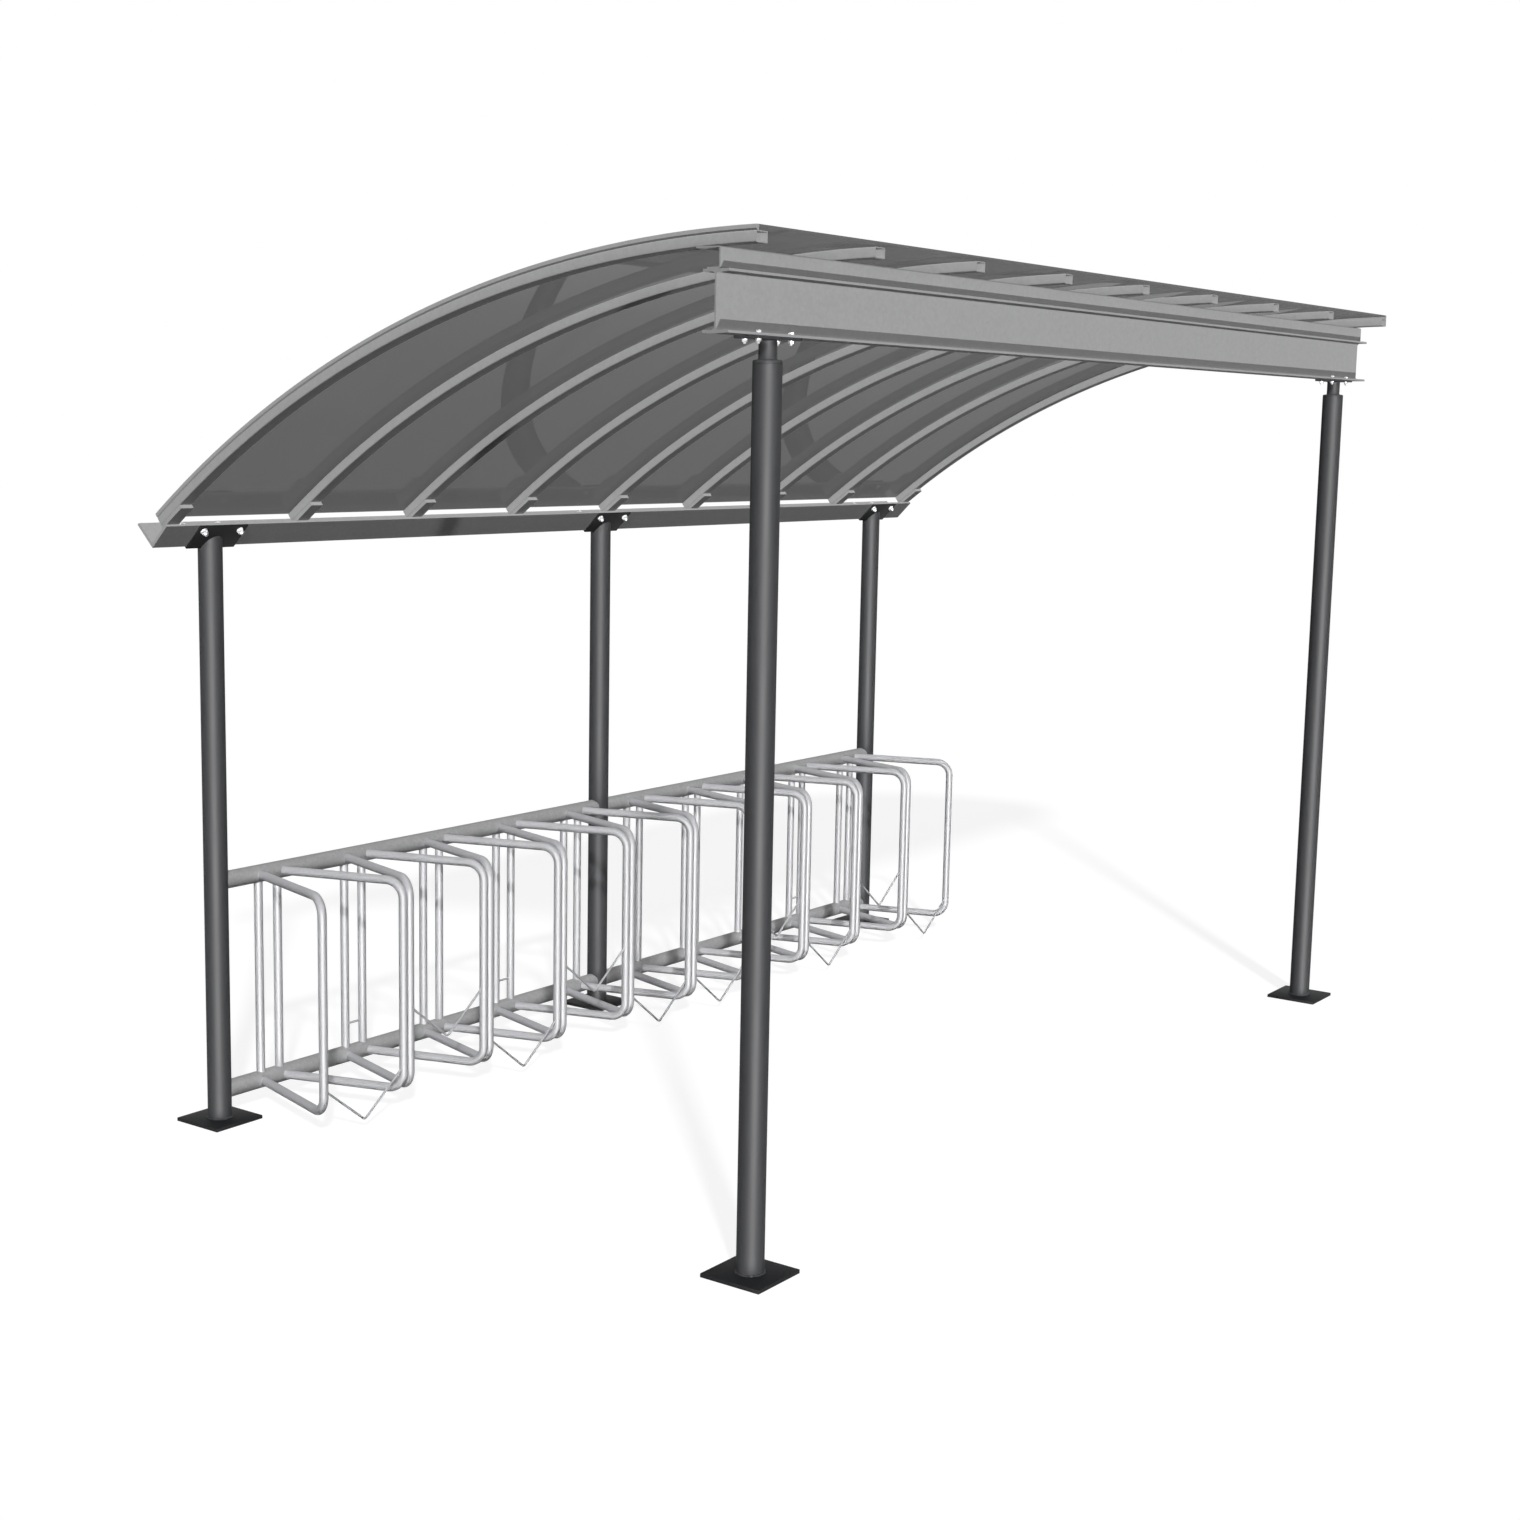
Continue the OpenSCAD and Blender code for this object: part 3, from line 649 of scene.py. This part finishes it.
def seen_rays(nodes, links):
    """1 where a ray comes from the camera, off a gloss or through the sheet, otherwise 0"""
    ray = nodes.new("ShaderNodeLightPath")
    seen = ray.outputs["Is Camera Ray"]
    for kind in ("Is Glossy Ray", "Is Transmission Ray"):
        either = nodes.new("ShaderNodeMath")
        either.operation = "MAXIMUM"
        links.new(seen, either.inputs[0])
        links.new(ray.outputs[kind], either.inputs[1])
        seen = either.outputs[0]
    return seen


ground = bmesh.new()
bmesh.ops.create_grid(ground, x_segments=1, y_segments=1, size=60)
floor = loose_object("ground", ground)
bpy.context.scene.collection.objects.link(floor)
floor.visible_shadow = False

pale, nodes, links, shader = new_finish("pale_ground")
nodes.remove(shader)
lit = add_node(nodes, "BsdfDiffuse", Color=(0.16, 0.16, 0.16, 1))
glow = add_node(nodes, "Emission", Strength=0.90)
dull = add_node(nodes, "BsdfDiffuse", Color=(0.05, 0.05, 0.05, 1))
bright = nodes.new("ShaderNodeAddShader")
pick = nodes.new("ShaderNodeMixShader")
links.new(lit.outputs[0], bright.inputs[0])
links.new(glow.outputs[0], bright.inputs[1])
links.new(seen_rays(nodes, links), pick.inputs["Fac"])
links.new(dull.outputs[0], pick.inputs[1])
links.new(bright.outputs[0], pick.inputs[2])
links.new(pick.outputs[0], nodes["Material Output"].inputs["Surface"])
floor.data.materials.append(pale)


# Surround: white where it is seen, in a reflection or through the sheet. It
# gives next to no light of its own, so that the lamps alone shape the pieces.
world = bpy.data.worlds.new("surround")
bpy.context.scene.world = world
world.use_nodes = True
nodes, links = world.node_tree.nodes, world.node_tree.links
backdrop = nodes["Background"]
backdrop.inputs["Color"].default_value = (1, 1, 1, 1)
level = add_node(nodes, "MapRange", To_Min=0.025, To_Max=1.0)
links.new(seen_rays(nodes, links), level.inputs["Value"])
links.new(level.outputs["Result"], backdrop.inputs["Strength"])


# Flags: two thin strips that hang under the front edges of the beam's flanges,
# out of sight, and keep the low light off the undersides. They are studio gear.
top_drop, bottom_drop = 0.0285, 0.060
flag_gap, flag_t, flag_ease = 0.0001, 0.0001, 0.00001
strips = bmesh.new()
for edge_z, drop in ((beam_high.z - flange, top_drop), (beam_low.z, bottom_drop)):
    add_block(strips, (beam_low.x, beam_low.y - flag_gap - flag_t, edge_z - drop),
              (beam_high.x, beam_low.y - flag_gap, edge_z), flag_ease)
flags = loose_object("flags", strips)
flags.visible_camera = flags.visible_diffuse = flags.visible_glossy = flags.visible_transmission = False


# Lamps: distant ones in a few directions, a key from the left of the open
# front, one low in front and one from behind. The beam, the roof and the rest
# are each lit by lamps of their own, and the ground by one that casts its shadow.
def group(name, *objects):
    made = bpy.data.collections.new(name)
    for each in objects:
        made.objects.link(each)
    return made


def add_sun(name, towards, strength, softness, lit, shaded_by):
    """a distant lamp that lights one group and takes its shadows from another"""
    lamp = bpy.data.lights.new(name, "SUN")
    lamp.energy = strength
    lamp.angle = math.radians(softness)
    lamp.use_shadow = shaded_by is not None
    sun = bpy.data.objects.new(name, lamp)
    sun.rotation_euler = Vector(towards).to_track_quat("Z", "Y").to_euler()
    bpy.context.scene.collection.objects.link(sun)
    sun.light_linking.receiver_collection = lit
    sun.light_linking.blocker_collection = shaded_by
    return sun


pieces = [o for o in bpy.context.scene.objects if o.type == "MESH" and not o.hide_render and o is not floor]
beam_parts = [o for o in pieces if o.name in ("rolled_beam", "folded_channel")]
roof_parts = [o for o in pieces if o.name in ("curved_ribs", "rib_lugs", "edge_bars", "smoked_roof")]
other_parts = [o for o in pieces if o not in beam_parts + roof_parts]
rest_parts = [o for o in other_parts if o.name != "gutter_angle"]
lit_beam = group("beam_in_light", *beam_parts)
lit_roof = group("roof_in_light", bpy.data.objects["gutter_angle"], *roof_parts)
lit_rest = group("rest_in_light", *rest_parts)
lit_ground = group("ground_in_light", floor)
whole = group("whole_shelter", *pieces)
stand = group("posts_and_rack", *other_parts)
flagged = group("shelter_and_flags", flags, *pieces)
bpy.context.scene.collection.objects.link(flags)

key_from, low_from, back_from = (-0.617, -0.590, 0.515), (-0.37, -0.74, -0.55), (0.79, 0.60, 0.06)
glint_from = (-0.687, -0.727, -0.15)
add_sun("key", key_from, 2.3, 2, lit_rest, stand)
add_sun("key_fill", key_from, 1.6, 2, lit_rest, None)
add_sun("glint", glint_from, 64, 26, lit_rest, whole).visible_diffuse = False
add_sun("back", back_from, 5.0, 5, lit_rest, whole).visible_glossy = False
add_sun("roof_key", key_from, 2.3, 2, lit_roof, stand)
add_sun("roof_fill", key_from, 1.6, 2, lit_roof, None)
add_sun("roof_low", low_from, 0.42, 1, lit_roof, whole)
add_sun("roof_back", back_from, 2.6, 5, lit_roof, whole).visible_glossy = False
add_sun("beam_key", key_from, 1.8, 3, lit_beam, stand)
add_sun("beam_low", low_from, 2.3, 1, lit_beam, flagged)
add_sun("beam_back", back_from, 2.6, 5, lit_beam, whole).visible_glossy = False
add_sun("ground_shadow", key_from, 3.9, 3, lit_ground, whole)


# Camera: 2.3 m up, in front of the left end, looking along the shelter and
# 8 degrees down, with a roll of under one degree, on a 52 mm lens.
lens = bpy.data.cameras.new("camera")
lens.sensor_width = 36
lens.lens = 52.013
lens.shift_x = 0.0374
lens.shift_y = -0.0027
lens.clip_end = 200
camera = bpy.data.objects.new("camera", lens)
turn = Euler([math.radians(angle) for angle in (81.6090, -0.8805, -53.2401)])
camera.matrix_world = Matrix.Translation((-6.7869, -4.4601, 2.3257)) @ turn.to_matrix().to_4x4()
bpy.context.scene.collection.objects.link(camera)
bpy.context.scene.camera = camera
bpy.context.scene.view_settings.view_transform = "Standard"
